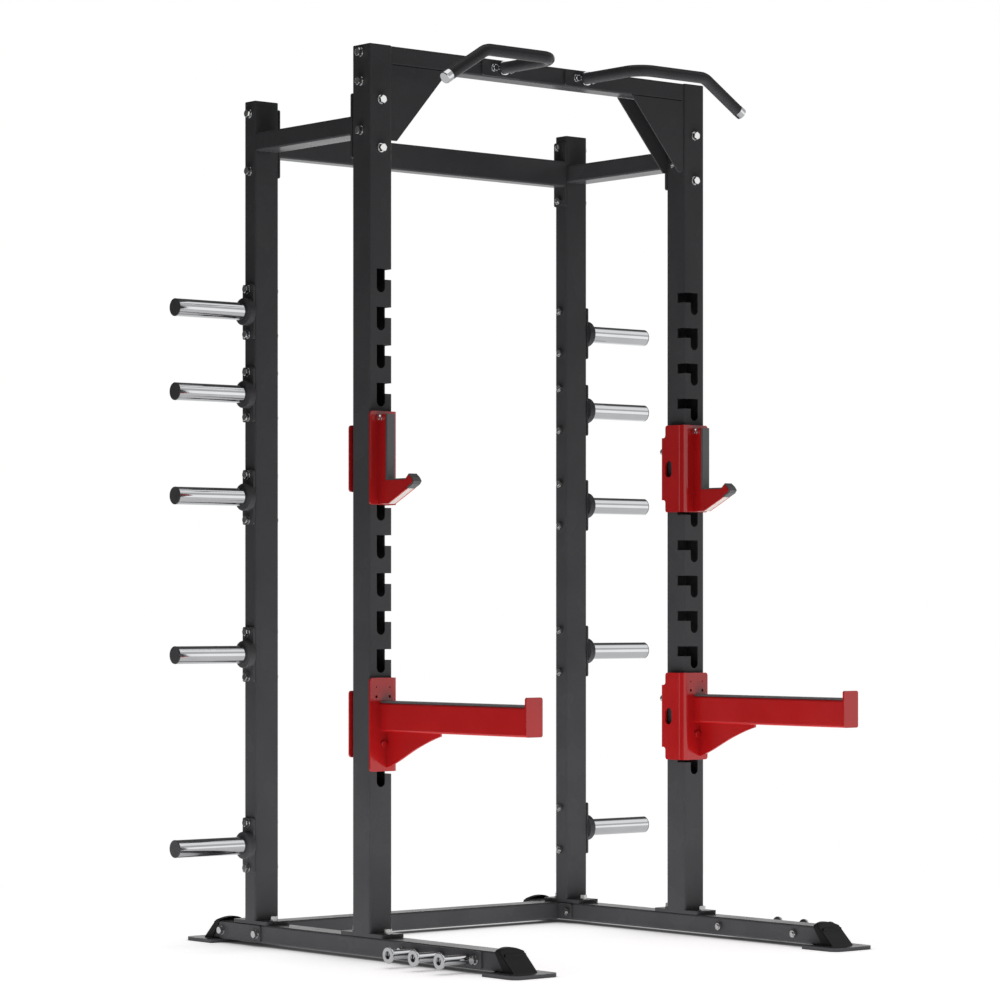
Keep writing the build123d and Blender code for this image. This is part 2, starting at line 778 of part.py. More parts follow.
# J-hooks
hook_low = stud_height(slot_count_above_hook)
hook_top = hook_low + hook_top_rise
hook_foot = hook_low - hook_foot_drop
seat_z = hook_low - hook_seat_drop
back_y = flange_front - hook_back_deep
hook_bolt_y = flange_front - hook_bolt_in
hook_bolt_z = hook_top - hook_bolt_down


def nose_point(out, rise):
    """Point of the hook's nose, out from the bracket and up from the lower stud."""
    return (flange_front - out, hook_low + rise)


def under_point(reach, inside):
    """Point on the hook's sloping underside, or inside it, so far along from its foot."""
    slope = radians(hook_under_slope)
    out = hook_foot_deep + reach * cos(slope) - inside * sin(slope)
    return nose_point(out, reach * sin(slope) + inside * cos(slope) - hook_foot_drop)


liner_end = hook_under_long - liner_under_long
under_liner = [
    under_point(liner_end, liner_under),
    under_point(hook_under_long, liner_under),
    *[nose_point(out, rise) for out, rise in reversed(nose_corners)],
    (flange_front - hook_seat_end, seat_z),
    (back_y, seat_z),
    (back_y, hook_top),
]
liner_face = [
    (back_y - liner_back, hook_top),
    (back_y - liner_back, seat_z + liner_seat),
    (flange_front - hook_seat_end, seat_z + liner_seat),
    *[nose_point(out, rise) for out, rise in liner_corners],
    under_point(hook_under_long + liner_under, 0),
    under_point(liner_end, 0),
]


def hook_slab(start, thick):
    """Slab in the outline of the hook, standing on the plane at X = start."""
    with BuildPart() as slab:
        with BuildSketch(along_x(start, 0, 0)):
            Polygon(
                (flange_front, hook_foot),
                under_point(0, 0),
                under_point(liner_end, 0),
                *under_liner,
                (flange_front, hook_top),
                align=None,
            )
            with Locations((hook_bolt_y, hook_bolt_z)):
                Circle(hook_bolt / 2 + thread_clearance, mode=Mode.SUBTRACT)
        extrude(amount=thick)
    return slab.part


for side, hand in sides:
    x = hand * (side_x + hook_shift)
    with BuildPart() as hook_bracket:
        add(bracket(hand, hook_low))
    keep(hook_bracket, f"j_hook_bracket_{side}")
    with BuildPart() as hook_plates:
        add(hook_slab(x - hook_wide / 2, hook_plate))
        add(hook_slab(x + hook_wide / 2 - hook_plate, hook_plate))
    keep(hook_plates, f"j_hook_side_plates_{side}")
    with BuildPart() as hook_core:
        add(hook_slab(x - hook_wide / 2 + hook_plate, hook_wide - 2 * hook_plate))
    keep(hook_core, f"j_hook_core_{side}")
    with BuildPart() as hook_liner:
        with BuildSketch(along_x(x - hook_wide / 2 + liner_inset, 0, 0)):
            with BuildLine():
                face = FilletPolyline(*liner_face, radius=liner_round)
                Polyline(face @ 1, *under_liner, face @ 0)
            make_face()
        extrude(amount=hook_wide - 2 * liner_inset)
    keep(hook_liner, f"j_hook_liner_{side}")
    with BuildPart() as hook_fasteners:
        for height in (hook_low, hook_low + slot_pitch):
            add(stud(hand, height))
        add(rivet(hand, hook_low + slot_pitch))
        with Locations(along_x(x - hook_wide / 2, hook_bolt_y, hook_bolt_z, -1)):
            add(hex_bolt(hook_bolt, hook_wide))
    keep(hook_fasteners, f"j_hook_fasteners_{side}")

# Spotter arms
arm_low = stud_height(slot_count_above_arm)
arm_bottom = arm_low + arm_rise
arm_end = flange_front - arm_long
for side, hand in sides:
    x = hand * side_x
    arm_x = x + arm_shift
    with BuildPart() as spotter_bracket:
        add(bracket(hand, arm_low))
        with Locations(along_y(x, wrap_front, arm_low)):
            Cylinder(arm_bolt / 2 + bolt_clearance, 2 * bracket_thick, mode=Mode.SUBTRACT)
        for diameter, rise in ((arm_hole, arm_hole_rise), (arm_pin_hole, arm_pin_rise)):
            for across in (-arm_hole_spacing / 2, arm_hole_spacing / 2):
                with Locations(along_y(x + across, wrap_front, arm_low + rise)):
                    Cylinder(diameter / 2, 2 * bracket_thick, mode=Mode.SUBTRACT)
    keep(spotter_bracket, f"spotter_bracket_{side}")
    with BuildPart() as spotter_arm:
        start = along_y(arm_x, flange_front, arm_bottom + arm_tall / 2, -1)
        add(box_tube(start, arm_wide, arm_tall, arm_long))
    keep(spotter_arm, f"spotter_arm_{side}")
    with BuildPart() as spotter_end_plate:
        seat = along_y(arm_x, arm_end, arm_bottom + arm_plate_tall / 2, -1)
        add(flat_plate(seat, arm_plate_wide, arm_plate_tall, arm_plate_thick))
    keep(spotter_end_plate, f"spotter_end_plate_{side}")
    with BuildPart() as spotter_strip:
        seat = along_z(arm_x, flange_front - arm_long / 2, arm_bottom + arm_tall)
        add(flat_plate(seat, arm_strip_wide, arm_long, arm_strip_thick, corner=arm_strip_corner))
    keep(spotter_strip, f"spotter_strip_{side}")
    with BuildPart() as spotter_gusset:
        with BuildSketch(along_x(x + arm_gusset_shift - arm_gusset_thick / 2, 0, 0)):
            with BuildLine():
                root = (flange_front, arm_bottom - arm_gusset_drop)
                tip = (flange_front - arm_gusset_reach, arm_bottom - arm_gusset_tip)
                between = [(flange_front - out, arm_bottom - down) for out, down in arm_gusset_curve]
                Spline(root, *between, tip)
                Polyline(tip, (tip[0], arm_bottom), (flange_front, arm_bottom), root)
            make_face()
        extrude(amount=arm_gusset_thick)
    keep(spotter_gusset, f"spotter_gusset_{side}")
    with BuildPart() as spotter_fasteners:
        add(stud(hand, arm_low + slot_pitch))
        add(rivet(hand, arm_low + slot_pitch))
        add(stud(hand, arm_low))
        with Locations(along_y(x, front_face - bracket_gap, arm_low)):
            Cylinder(arm_bolt / 2 + thread_clearance, 1.6 * stud_long, mode=Mode.SUBTRACT)
        flats = arm_bolt * flats_factor / 2
        with BuildSketch(along_y(x, flange_front, arm_low, -1)):
            RegularPolygon(flats, 6, major_radius=False)
        extrude(amount=arm_bolt * head_factor)
        with BuildSketch(along_y(x, flange_front, arm_low, -1)):
            Circle(arm_bolt / 2)
        extrude(amount=-bracket_thick - 0.7 * stud_long)
    keep(spotter_fasteners, f"spotter_fasteners_{side}")

# Bolts and nuts of the frame, the horns and the grips
with BuildPart() as frame_bolts:
    low_grip = backing_thick + rail_wide + low_plate_thick
    peg_grip = peg_plate_thick + rail_wide
    for side, hand in sides:
        x = hand * side_x
        with Locations(*[along_z(x, y, upright_foot) for y in flange_bolt_ys]):
            add(hex_bolt(frame_bolt, flange_thick + tube_wall))
        low_seat = hand * (rail_outside + backing_thick)
        with Locations(*[along_x(low_seat, y, rail_mid, hand) for y in low_bolt_ys]):
            add(hex_bolt(frame_bolt, low_grip))
        peg_seat = hand * (rail_outside + peg_plate_thick)
        with Locations(*[along_x(peg_seat, y, rail_mid, hand) for y in peg_bolt_ys]):
            add(hex_bolt(frame_bolt, peg_grip))
        with Locations(*[along_x(x + hand * front_tube / 2, front_y, z, hand) for z in top_bolt_zs]):
            add(hex_bolt(frame_bolt, front_tube + top_plate_thick))
        with Locations(*[along_y(x, front_face, z, -1) for z in side_bolt_zs]):
            add(hex_bolt(frame_bolt, front_tube + side_plate_thick))
        with Locations(*[along_x(hand * rear_outside, rear_y, z, hand) for z in rear_bolt_zs]):
            add(hex_bolt(frame_bolt, rear_tube_wide + rear_plate_thick))
keep(frame_bolts, "frame_bolts")

with BuildPart() as horn_bolts:
    for side, hand in sides:
        seats = [along_x(hand * (rear_outside + horn_plate_thick), rear_y, z, hand) for z in horn_bolt_zs]
        with Locations(*seats):
            add(hex_bolt(frame_bolt, rear_tube_wide + horn_plate_thick))
keep(horn_bolts, "horn_bolts")

with BuildPart() as grip_bolts:
    for side, hand in sides:
        with Locations(*[along_y(hand * x, grip_seat, top_cross_z, -1) for x in grip_bolt_xs]):
            add(hex_bolt(grip_bolt, grip_plate_thick + top_cross_deep))
keep(grip_bolts, "grip_bolts")
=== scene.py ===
# %% [markdown]
# # A power cage: black frame, red hooks and arms, chrome horns
# The CAD model already holds every tube, plate and hook at its real size. This lesson dresses it:
# each finish is mixed from shader nodes, the bolts, rivets and studs are modelled again with the
# chamfers that catch the light, and a plain white studio is built round the cage.

# %% Load the CAD model as a fixed frame
import json
from math import cos, pi, radians, sin, sqrt, tan

import bmesh
import bpy
from mathutils import Matrix, Vector


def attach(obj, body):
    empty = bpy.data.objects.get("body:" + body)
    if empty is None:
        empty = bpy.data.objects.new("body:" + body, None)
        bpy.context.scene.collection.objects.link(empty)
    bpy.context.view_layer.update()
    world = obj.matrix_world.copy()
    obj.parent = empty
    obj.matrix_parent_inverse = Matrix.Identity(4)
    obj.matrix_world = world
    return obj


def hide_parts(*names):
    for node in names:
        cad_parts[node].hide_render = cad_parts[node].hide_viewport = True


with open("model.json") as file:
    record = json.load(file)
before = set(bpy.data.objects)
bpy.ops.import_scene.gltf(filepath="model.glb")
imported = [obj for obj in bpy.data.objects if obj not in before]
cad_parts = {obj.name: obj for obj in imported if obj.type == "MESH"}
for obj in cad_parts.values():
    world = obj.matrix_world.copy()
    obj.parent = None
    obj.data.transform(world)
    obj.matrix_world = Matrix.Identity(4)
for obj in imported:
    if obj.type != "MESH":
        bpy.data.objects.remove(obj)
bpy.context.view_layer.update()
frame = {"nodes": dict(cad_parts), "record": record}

mm = 0.001

# %% [markdown]
# ## Camera
# The photograph is a long-lens product shot from the front left, taken at about waist height with
# the camera level, so all uprights stay parallel. A level camera with a little vertical shift keeps
# them so; tilting the camera instead would make them lean.

# %% Level camera with a shifted lens
camera_data = bpy.data.cameras.new("product_camera")
camera_data.sensor_width = 36.0
camera_data.lens = 127.92
camera_data.shift_y = 0.10814
camera = bpy.data.objects.new("product_camera", camera_data)
camera.location = (-6.3285, -7.4284, 0.9235)
camera.rotation_euler = (radians(90), 0, radians(-40.03))
bpy.context.scene.collection.objects.link(camera)
bpy.context.scene.camera = camera
print("camera height:", camera.location.z)

# %% [markdown]
# ## Colours and nodes
# Paint charts give colours as sRGB hex values, but the shader works in linear light, so one function
# turns a hex value to linear. A second small function adds a node, sets it up and links it, which
# keeps every finish below down to a few readable lines.

# %% Hex colours and one node helper
def linear(hex_colour):
    """Linear RGBA of an sRGB hex colour."""
    parts = [int(hex_colour[i:i + 2], 16) / 255 for i in (1, 3, 5)]
    return [p / 12.92 if p <= 0.04045 else ((p + 0.055) / 1.055) ** 2.4 for p in parts] + [1.0]


def add_node(tree, kind, inputs=(), **settings):
    """Add one node, give it its settings, and fill or link its inputs."""
    node = tree.nodes.new(kind)
    for name, value in settings.items():
        setattr(node, name, value)
    for socket, value in dict(inputs).items():
        if isinstance(value, bpy.types.NodeSocket):
            tree.links.new(value, node.inputs[socket])
        else:
            node.inputs[socket].default_value = value
    return node


print("black of the frame in linear light:", linear("#424244"))

# %% [markdown]
# ## One surface, many finishes
# Powder coat, plating and moulded plastic all look alike to the shader: a colour and a gloss that
# drift slowly over the surface, and a fine relief. So one function builds that net, and each finish
# below gives its own colours, gloss and real sizes in millimetres. Drift and relief are noise on
# Object coordinates, which every piece here shares with the whole cage, so nothing slides or stretches.
# Noise seldom leaves its middle range, so that range is stretched to reach both colours.

# %% A finish with drifting colour and gloss, and a fine relief
finishes = {}
noise_range = {"From Min": 0.3, "From Max": 0.7}


def surface(name, colours, gloss, drift, relief, relief_height, along=(1, 1, 1), **sockets):
    """Material: two hex colours, low and high roughness, widths of drift and relief in mm."""
    material = bpy.data.materials.new(name)
    material.use_nodes = True
    tree = material.node_tree
    shader = tree.nodes["Principled BSDF"]
    for socket, value in sockets.items():
        shader.inputs[socket.replace("_", " ")].default_value = value
    place = add_node(tree, "ShaderNodeTexCoord").outputs["Object"]
    cloud = add_node(tree, "ShaderNodeTexNoise",
                     {"Vector": place, "Scale": 1 / (drift * mm), "Detail": 3.0}).outputs[0]
    share = add_node(tree, "ShaderNodeMapRange", {"Value": cloud, **noise_range}).outputs[0]
    tint = add_node(tree, "ShaderNodeMix", {0: share, 6: linear(colours[0]), 7: linear(colours[1])},
                    data_type="RGBA")
    sheen = add_node(tree, "ShaderNodeMapRange",
                     {"Value": cloud, **noise_range, "To Min": gloss[0], "To Max": gloss[1]})
    lie = add_node(tree, "ShaderNodeMapping", {"Vector": place, "Scale": along})
    grain = add_node(tree, "ShaderNodeTexNoise",
                     {"Vector": lie.outputs[0], "Scale": 1 / (relief * mm), "Detail": 2.0})
    bump = add_node(tree, "ShaderNodeBump", {"Height": grain.outputs[0], "Distance": relief_height * mm})
    tree.links.new(tint.outputs[2], shader.inputs["Base Color"])
    tree.links.new(sheen.outputs[0], shader.inputs["Roughness"])
    tree.links.new(bump.outputs[0], shader.inputs["Normal"])
    return material


print("noise is spread over", noise_range)

# %% [markdown]
# ## Powder coat
# The frame and the red pieces are steel, sprayed with dry polyester powder that melts into one skin in
# an oven. Melted powder levels out to a faint orange peel, about 3 mm from crest to crest and a few
# hundredths of a millimetre high. That is finer than a pixel of the main view, so it is drawn at 6 mm.
# The black is satin and the red a little glossier, which shows as a clearer haze on faces that
# mirror the bright floor.

# %% Satin black and semi-gloss red powder coat
# Satin: light spreads wide, so flat faces shade softly and slots read almost black.
finishes["black_powder"] = surface("satin_black_powder_coat", ("#424244", "#48484a"), (0.22, 0.30),
                                   drift=160, relief=6, relief_height=0.02,
                                   IOR=1.5, Specular_IOR_Level=0.06)
# Semi-gloss: deep red with a pale veil where a face mirrors the white floor.
finishes["red_powder"] = surface("semi_gloss_red_powder_coat", ("#a61214", "#ae1517"), (0.14, 0.20),
                                 drift=120, relief=6, relief_height=0.015, IOR=1.5)
print("powder coats:", [m.name for m in finishes.values()])

# %% [markdown]
# ## Plated metal
# The horns, band pegs and grip ends are steel with bright chrome over nickel: a mirror with a cool tint
# and only faint smears from handling. Bolts are zinc plated, which is duller and drifts a little
# between blue and yellow. A metal's colour is its reflection, so both are fully metallic and keep the
# default IOR.

# %% Chrome and zinc
# Mirror bright: it draws the floor, the dark studio and the light as crisp bands along a tube.
finishes["chrome"] = surface("bright_chrome_plate", ("#c9cacc", "#cecfd1"), (0.05, 0.10),
                             drift=70, relief=25, relief_height=0.004, Metallic=1.0)
# Bright but soft: small glints on the chamfers, grey between them.
finishes["zinc"] = surface("blue_zinc_plate", ("#cacdd2", "#d4d3cd"), (0.12, 0.20),
                           drift=12, relief=1.5, relief_height=0.006, Metallic=1.0)
print("metals:", finishes["chrome"].name, "and", finishes["zinc"].name)

# %% [markdown]
# ## Plastics
# Caps are injection moulded, and their moulds are spark eroded, so the plastic carries a fine even grain
# of about half a millimetre, drawn here at 1.5 mm so that a close view shows it. The liners that protect
# the bar are cut from sheet, and a skived sheet keeps faint lines along its length. The pale core
# between the plates of a hook is the same sheet, uncoloured.

# %% Moulded caps and cut sheet
# Near black and even, with a broad soft sheen.
finishes["black_plastic"] = surface("moulded_black_polyethylene", ("#0f0f10", "#131314"), (0.36, 0.44),
                                    drift=40, relief=1.5, relief_height=0.03,
                                    IOR=1.51, Specular_IOR_Level=0.2)
# Charcoal and flat: the grain scatters the light.
finishes["charcoal_plastic"] = surface("moulded_charcoal_nylon", ("#38383a", "#3e3e40"), (0.48, 0.58),
                                       drift=25, relief=1.5, relief_height=0.05,
                                       IOR=1.53, Specular_IOR_Level=0.25)
# Grey and waxy, with skive lines that run along the arm.
finishes["liner_plastic"] = surface("skived_grey_polyethylene", ("#4b4b4d", "#535355"), (0.46, 0.58),
                                    drift=45, relief=2, relief_height=0.04, along=(1, 0.04, 0.04), IOR=1.51)
# Pale and milky, with a hint of warmth.
finishes["core_plastic"] = surface("sawn_natural_polyethylene", ("#b5aca6", "#bfb6b0"), (0.45, 0.55),
                                   drift=30, relief=2, relief_height=0.05, along=(0.04, 1, 1), IOR=1.51)
print("all finishes:", sorted(finishes))

# %% [markdown]
# ## Finish every CAD node
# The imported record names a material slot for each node, so the finishes above can be handed out by slot
# and no node is forgotten. Only the material slots of a CAD object are touched, never its mesh.

# %% Hand out the finishes by slot
slot_of = {part["node"]: part["material_slot"] for part in frame["record"]["subparts"]}
for node, piece in frame["nodes"].items():
    for slot in piece.material_slots:
        slot.material = finishes[slot_of[node]]
print("nodes finished:", len(slot_of))

# %% [markdown]
# ## Turned shapes and hexagons
# Bolts decide how real a bolted frame looks, because their chamfers catch the light. Washers, shanks,
# rivets and studs are turned on a lathe, so a half outline is spun round the Z axis. A bolt head is a
# hexagon whose corners are turned off in a 30 degree cone. Its curved corner edges come for free when
# the hexagon's sides are cut into short pieces and each point of the rim drops by its distance from
# the axis.

# %% Spin an outline, and turn off a hexagon
lathe_steps = 32
merge_reach = 0.001
corner_slope = tan(radians(30))


def turned(bm, outline, closed=False):
    """Shape of revolution about Z from (radius, height) points in mm."""
    verts = [bm.verts.new((radius, 0, height)) for radius, height in outline]
    pairs = list(zip(verts, verts[1:])) + ([(verts[-1], verts[0])] if closed else [])
    edges = [bm.edges.new(pair) for pair in pairs]
    bmesh.ops.spin(bm, geom=verts + edges, cent=(0, 0, 0), axis=(0, 0, 1), angle=2 * pi,
                   steps=lathe_steps, use_merge=True)
    bmesh.ops.remove_doubles(bm, verts=bm.verts, dist=merge_reach)


def grow(bm, loop, height, radius=None, cone=None):
    """Extrude a ring of edges to a circle of that radius, or straight on to a coned rim."""
    made = bmesh.ops.extrude_edge_only(bm, edges=loop)["geom"]
    verts = {item for item in made if isinstance(item, bmesh.types.BMVert)}
    for vert in verts:
        reach = vert.co.xy.length
        if radius:
            vert.co = (vert.co.x * radius / reach, vert.co.y * radius / reach, height)
        else:
            vert.co.z = height - (reach - cone) * corner_slope
    return [item for item in made if isinstance(item, bmesh.types.BMEdge) and set(item.verts) <= verts]


def hexagon(bm, flats, low, high, bore=0.0):
    """Bolt head, or a nut where a bore is given, with the corners of both ends turned off."""
    face = 0.47 * flats
    head = bmesh.new()
    bmesh.ops.create_circle(head, segments=6, radius=flats / sqrt(3))
    bmesh.ops.subdivide_edges(head, edges=head.edges[:], cuts=5)
    for vert in head.verts:
        vert.co.z = low + (vert.co.xy.length - face) * corner_slope
    rim = head.edges[:]
    top = grow(head, grow(head, rim, high, cone=face), high, radius=face)
    under = grow(head, rim, low, radius=face)
    if bore:
        inner = grow(head, top, high, radius=bore) + grow(head, under, low, radius=bore)
        bmesh.ops.bridge_loops(head, edges=inner)
    else:
        bmesh.ops.edgeloop_fill(head, edges=top)
        bmesh.ops.edgeloop_fill(head, edges=under)
    joined = bpy.data.meshes.new("hexagon")
    head.to_mesh(joined)
    head.free()
    bm.from_mesh(joined)
    bpy.data.meshes.remove(joined)


def shape(bm, name):
    """Mesh of a finished shape, with its faces turned outwards."""
    bmesh.ops.recalc_face_normals(bm, faces=bm.faces)
    mesh = bpy.data.meshes.new(name)
    bm.to_mesh(mesh)
    bm.free()
    print(name, "has", len(mesh.polygons), "faces")
    return mesh


print("a turned part has", lathe_steps, "sides")

# %% [markdown]
# ## One hex bolt
# A frame bolt is a washer, a hexagon head, a shank through both walls, and a nut on the far side with a
# few turns of thread past it. It is modelled once along Z, in millimetres, with its seat at zero, and
# copied to every place later. Rings stand in for the thread, because its slope can't be seen at this size.

# %% Washer, head, nut and threaded tip
coarse_pitch = {8: 1.25, 10: 1.5, 12: 1.75}


def hex_bolt(size, grip):
    """Bolt of a metric size: head above its seat, nut below the grip."""
    bm = bmesh.new()
    rod, flats, head, nut = size / 2, 1.6 * size, 0.88 * size, 0.85 * size
    washer, edge, bore, nut_bore = 2.5, 0.4, rod + 0.5, rod + 0.15
    turned(bm, [(bore, 0), (size - edge, 0), (size, edge), (size, washer - edge),
                (size - edge, washer), (bore, washer)], closed=True)
    hexagon(bm, flats, washer, washer + head)
    hexagon(bm, flats, -grip - nut, -grip, bore=nut_bore)
    point, taper, lead = 3.0, 1.2, 0.8
    pitch = coarse_pitch[size]
    root = rod - 0.55 * pitch
    tip = -grip - nut - point
    thread = [(0, tip), (rod - taper, tip)]
    crest = tip + lead
    while crest < -grip - nut:
        thread += [(rod, crest), (root, crest + pitch / 2)]
        crest += pitch
    turned(bm, thread + [(rod, crest), (rod, washer), (0, washer)])
    return shape(bm, f"bolt_{size:g}_by_{grip:g}")


print("thread pitch of each bolt size in mm:", coarse_pitch)

# %% [markdown]
# ## Put copies in place
# Each place is a matrix: the shape is scaled from millimetres, turned about its own axis, swung to face
# the right way and moved to its seat. Real bolts stop wherever they come tight, so the copies of a bolt
# get different turns. All copies of a set join one mesh whose object stays at the origin, as a CAD
# node's does.

# %% A seat, and a set of fasteners that replaces a CAD node
def seat(x, y, z, facing, turn=0.0):
    """Matrix that stands a shape made along Z on its seat."""
    moved = Matrix.Translation(Vector((x, y, z)) * mm)
    swing = Vector((0, 0, 1)).rotation_difference(Vector(facing)).to_matrix().to_4x4()
    return moved @ swing @ Matrix.Rotation(radians(turn), 4, "Z") @ Matrix.Scale(mm, 4)


def fastener_set(name, body, node, placed, finish="zinc"):
    """One piece from copies of finished shapes, riding on a body in place of a CAD node."""
    bm = bmesh.new()
    for copied, matrix in placed:
        old = len(bm.verts)
        bm.from_mesh(copied)
        bm.verts.ensure_lookup_table()
        bmesh.ops.transform(bm, matrix=matrix, verts=bm.verts[old:])
    mesh = bpy.data.meshes.new(name)
    bm.to_mesh(mesh)
    bm.free()
    mesh.materials.append(finishes[finish])
    mesh.shade_smooth()
    mesh.set_sharp_from_angle(angle=radians(28))
    piece = bpy.data.objects.new(name, mesh)
    bpy.context.scene.collection.objects.link(piece)
    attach(piece, body)
    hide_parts(node)
    print(name, "has", len(placed), "shapes and", len(mesh.polygons), "faces")


up, forward, rearward = (0, 0, 1), (0, -1, 0), (0, 1, 0)
print("heads face", up, "or", forward, "or sideways")

# %% [markdown]
# ## Bolts of the frame
# M12 bolts hold the uprights to the rails, the crossmembers and side rails to the uprights, and the peg
# plates and the low crossmember to the rails. Each row below is one joint of the frame: how many
# millimetres of metal the bolts clamp, which way the heads face, and where the seats are. A hexagon looks
# the same after 60 degrees, so the turns stay below that.

# %% Frame bolts
hands = {"left": -1, "right": 1}
side_x, front_y, rear_y = 563.5, -41.5, 451.0
front_tube, rear_tube, rail_plate = 75.0, 80.0, 5.0
front_outside, rear_outside = side_x + front_tube / 2, side_x + rear_tube / 2
front_face = front_y - front_tube / 2
rail_plate_face = front_outside + rail_plate
rail_mid, flange_top = 35.0, 70.0
frame_bolts = []
for hand in hands.values():
    out = (hand, 0, 0)
    joints = [
        # Base flanges
        (13.0, up, [(hand * side_x, y, flange_top) for y in (-109, 26, 396, 506)]),
        # Low crossmember
        (86.0, out, [(hand * rail_plate_face, y, rail_mid) for y in (416, 576)]),
        # Peg plates
        (80.0, out, [(hand * rail_plate_face, y, rail_mid) for y in (-518, -223)]),
        # Front crossmember
        (80.0, out, [(hand * front_outside, front_y, z) for z in (2385, 2308.5, 2180)]),
        # Side rails
        (82.5, forward, [(hand * side_x, front_face, z) for z in (2259.9, 2133.1)]),
        # Rear crossmember
        (85.0, out, [(hand * rear_outside, rear_y, z) for z in (2118, 2275)]),
    ]
    for grip, facing, seats in joints:
        bolt = hex_bolt(12, grip)
        for place in seats:
            frame_bolts.append((bolt, seat(*place, facing, turn=23 * len(frame_bolts) % 60)))
fastener_set("hex_bolts_of_the_frame", "frame", "frame_bolts", frame_bolts)

# %% [markdown]
# ## Bolts of the horns and grips
# Every plate horn is held by two M12 bolts through the rear upright, above and below its collar. The grips
# hang on M10 bolts through the top crossmember.

# %% Horn bolts and grip bolts
horn_plate, horn_bolt_reach = 6.0, 61.5
horn_plate_face = rear_outside + horn_plate
grip_plate_face, grip_bolt_z = -80.0, 2380.5
horn_bolt, grip_bolt = hex_bolt(12, 86.0), hex_bolt(10, 71.0)
horn_bolts, grip_bolts = [], []
for hand in hands.values():
    for height in (275.5, 797.0, 1226.5, 1507.0, 1733.0):
        for z in (height - horn_bolt_reach, height + horn_bolt_reach):
            turn = 31 * len(horn_bolts) % 60
            horn_bolts.append((horn_bolt, seat(hand * horn_plate_face, rear_y, z, (hand, 0, 0), turn)))
    for x in (118, 178):
        turn = 17 * len(grip_bolts) % 60
        grip_bolts.append((grip_bolt, seat(hand * x, grip_plate_face, grip_bolt_z, forward, turn)))
fastener_set("hex_bolts_of_the_horns", "frame", "horn_bolts", horn_bolts)
fastener_set("hex_bolts_of_the_grips", "frame", "grip_bolts", grip_bolts)

# %% [markdown]
# ## Studs and rivets of the hooks and arms
# A hook or arm hangs by two round studs in the slots, and a dome-headed rivet shows on the rear flange of
# its bracket. Both are turned parts, so a half outline is spun. A J-hook also has one M8 bolt through
# its plates. The lower stud of an arm has an M10 head on the front of its bracket, painted over with it.

# %% Stud, rivet and stud head
stud_radius, stud_long, chamfer = 13.5, 22.0, 1.5
bm = bmesh.new()
turned(bm, [(0, 0), (stud_radius, 0), (stud_radius, stud_long - chamfer),
            (stud_radius - chamfer, stud_long), (0, stud_long)])
stud = shape(bm, "hanging_stud")

rivet_radius, rim, rise, shank, sunk = 9.5, 6.0, 10.0, 4.0, 6.0
quarter = [step * pi / 16 for step in range(8)]
dome = [(rivet_radius * cos(angle), rim + rise * sin(angle)) for angle in quarter]
bm = bmesh.new()
turned(bm, [(0, -sunk), (shank, -sunk), (shank, 0), (rivet_radius, 0)] + dome + [(0, rim + rise)])
rivet = shape(bm, "dome_rivet")

head_flats, head_tall, head_rod = 16.0, 6.5, 5.0
bm = bmesh.new()
hexagon(bm, head_flats, 0, head_tall)
turned(bm, [(0, -sunk), (head_rod, -sunk), (head_rod, 0), (0, 0)])
stud_head = shape(bm, "stud_head")

# %% [markdown]
# ## Fasteners that move
# A hook or arm lifts in its slots, and its studs, rivet and bolt rise with it. So each set rides on
# the body of its own hook or arm, and would stay behind if it rode on the frame. The painted stud heads
# are pieces of their own, because a piece here has one finish.

# %% Fasteners that ride with the hooks and arms
slot_pitch, hook_stud_z, arm_stud_z = 100.0, 1267.3, 567.3
bracket_front, bracket_inside, bracket_rear = -88.5, -82.5, 5.5
hook_x, hook_half, hook_bolt_y, hook_bolt_z = 565.7, 13.5, -98.0, 1423.0
rivet_x = side_x - 36.0
hook_bolt = hex_bolt(8, 2 * hook_half)
for side, hand in hands.items():
    bolt = (hook_bolt, seat(hand * hook_x - hook_half, hook_bolt_y, hook_bolt_z, (-1, 0, 0), turn=3))
    head = (stud_head, seat(hand * side_x, bracket_front, arm_stud_z, forward, turn=19))
    riders = [
        ("j_hook", f"j_hook_{side}", hook_stud_z, [bolt]),
        ("spotter", f"spotter_arm_{side}", arm_stud_z, []),
    ]
    for kind, body, low, extra in riders:
        high = low + slot_pitch
        placed = [(stud, seat(hand * side_x, bracket_inside, z, rearward)) for z in (low, high)]
        placed += [(rivet, seat(hand * rivet_x, bracket_rear, high, rearward))] + extra
        fastener_set(f"{kind}_studs_and_rivet_{side}", body, f"{kind}_fasteners_{side}", placed)
    fastener_set(f"spotter_stud_head_{side}", f"spotter_arm_{side}", f"spotter_fasteners_{side}",
                 [head], "red_powder")

# %% [markdown]
# ## White floor
# Product shots stand on white paper. Here it is lit from above, and from below like a light table, which
# is what brightens the feet of the uprights and leaves their tops dark in the photograph. The glow is
# meant for the pieces: a Light Path node takes it away from what the camera and the mirrors see, and
# gives them just enough to read white. An Ambient Occlusion node dims the paper where something stands
# close above it, so rails and feet keep their dark contact line.

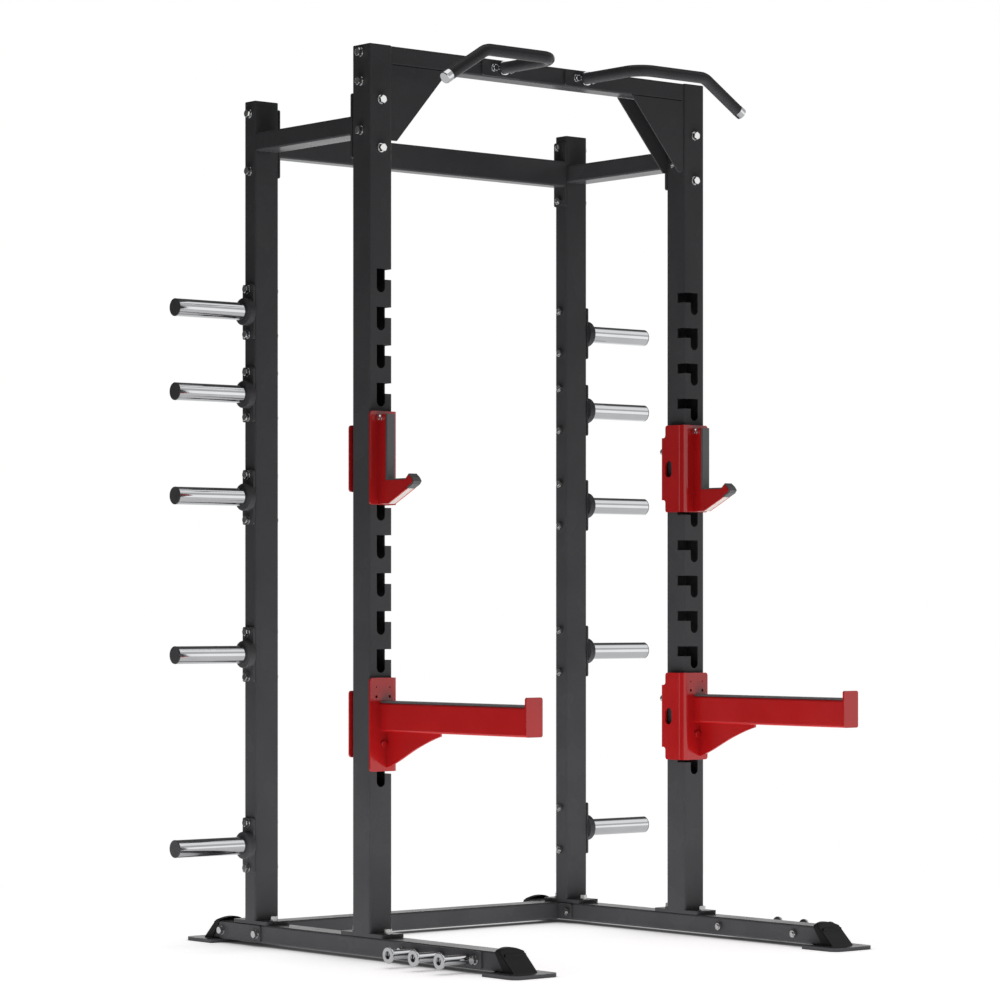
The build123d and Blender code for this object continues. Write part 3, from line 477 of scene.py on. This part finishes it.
# %% Floor of white paper, lit from both sides
table_glow, white_lift, mirror_lift = 2.1, 0.65, 0.34
contact_reach, floor_radius = 0.25, 2.6
paper = bpy.data.materials.new("white_paper")
paper.use_nodes = True
tree = paper.node_tree
tree.nodes.remove(tree.nodes["Principled BSDF"])
path = add_node(tree, "ShaderNodeLightPath").outputs
glow = table_glow
for ray, lift in (("Is Glossy Ray", mirror_lift), ("Is Transmission Ray", mirror_lift),
                  ("Is Camera Ray", white_lift)):
    glow = add_node(tree, "ShaderNodeMix", {0: path[ray], 2: glow, 3: lift}).outputs[0]
open_sky = add_node(tree, "ShaderNodeAmbientOcclusion", {"Distance": contact_reach}).outputs["AO"]
glow = add_node(tree, "ShaderNodeMath", {0: glow, 1: open_sky}, operation="MULTIPLY").outputs[0]
diffuse = add_node(tree, "ShaderNodeBsdfDiffuse", {"Color": linear("#f4f4f4")})
emission = add_node(tree, "ShaderNodeEmission", {"Strength": glow})
both = add_node(tree, "ShaderNodeAddShader", {0: diffuse.outputs[0], 1: emission.outputs[0]})
tree.links.new(both.outputs[0], tree.nodes["Material Output"].inputs["Surface"])

bm = bmesh.new()
bmesh.ops.create_circle(bm, cap_ends=True, segments=64, radius=floor_radius)
floor = bpy.data.objects.new("paper_floor", shape(bm, "paper_floor"))
floor.data.materials.append(paper)
bpy.context.scene.collection.objects.link(floor)

# %% [markdown]
# ## Studio
# The chrome shows how the photograph was lit. Reading one horn from top to bottom gives a dark rear wall, a
# bright ceiling panel, a grey wall, a bright strip about level with the lens and the floor, all at the
# front right. The two streaks on the bends of the red brackets add a soft box at the front and a narrow
# light at the left. The world is painted that way for mirrors: each panel is a direction, the two cosines
# between which its edge fades, and a level. The pieces get an even dim light from the world, and the
# camera sees white.

# %% World: panels for the mirrors, dim light for the pieces, white for the camera
world = bpy.data.worlds.new("white_studio")
bpy.context.scene.world = world
world.use_nodes = True
tree = world.node_tree
towards = add_node(tree, "ShaderNodeTexCoord").outputs["Generated"]


def panel(direction, start, stop, level):
    """Output that rises from 0 to a level, or to another output, as a ray turns towards a direction."""
    aim = add_node(tree, "ShaderNodeVectorMath", {0: towards, 1: direction}, operation="DOT_PRODUCT")
    ramp = {"Value": aim.outputs["Value"], "From Min": start, "From Max": stop, "To Max": level}
    return add_node(tree, "ShaderNodeMapRange", ramp, interpolation_type="SMOOTHSTEP").outputs[0]


def brightest(level, *lights):
    """Output of the brightest of a plain level and some panels."""
    for light in lights:
        level = add_node(tree, "ShaderNodeMath", {0: level, 1: light}, operation="MAXIMUM").outputs[0]
    return level


down, front_right, rear_right = (0, 0, -1), (0.643, -0.766, 0), (0.643, 0.766, 0)
high_right, front, left = (0.643, -0.383, 0.663), (-0.174, -0.985, 0), (-0.829, 0.559, 0)
dim, dark_room, grey_wall, white = 0.12, 0.08, 0.6, 1.0
strip = panel(up, -0.4, -0.2, panel(down, -0.26, -0.18, 1.3))
ceiling = panel(high_right, 0.93, 0.97, 1.1)
walls = panel(front_right, 0.3, 0.5, brightest(grey_wall, strip, ceiling))
far_floor = panel(down, 0.2, 0.4, 0.75)
front_box = panel(front, 0.83, 0.90, 1.5)
left_strip = panel(left, 0.988, 0.995, 1.3)
backdrop = panel(rear_right, 0.55, 0.8, panel(down, -0.35, -0.25, 1.0))
studio = brightest(dark_room, walls, far_floor, front_box, left_strip, backdrop)
path = add_node(tree, "ShaderNodeLightPath").outputs
strength = dim
for ray, level in (("Is Glossy Ray", studio), ("Is Transmission Ray", studio), ("Is Camera Ray", white)):
    strength = add_node(tree, "ShaderNodeMix", {0: path[ray], 2: strength, 3: level}).outputs[0]
tree.links.new(strength, tree.nodes["Background"].inputs["Strength"])
tree.nodes["Background"].inputs["Color"].default_value = (1, 1, 1, 1)
print("light from the walls:", dim)

# %% [markdown]
# ## Soft light
# One wide soft light straight overhead lights the paper evenly, so its edge never shows, and grazes the
# upright faces only a little. Its 60 degree width blurs the shadows as a large ceiling panel does.

# %% Overhead light
lamp = bpy.data.lights.new("overhead_light", "SUN")
lamp.energy = 1.0
lamp.angle = radians(60)
overhead = bpy.data.objects.new("overhead_light", lamp)
bpy.context.scene.collection.objects.link(overhead)
bpy.context.scene.view_settings.view_transform = "Standard"
print("overhead light:", lamp.energy)
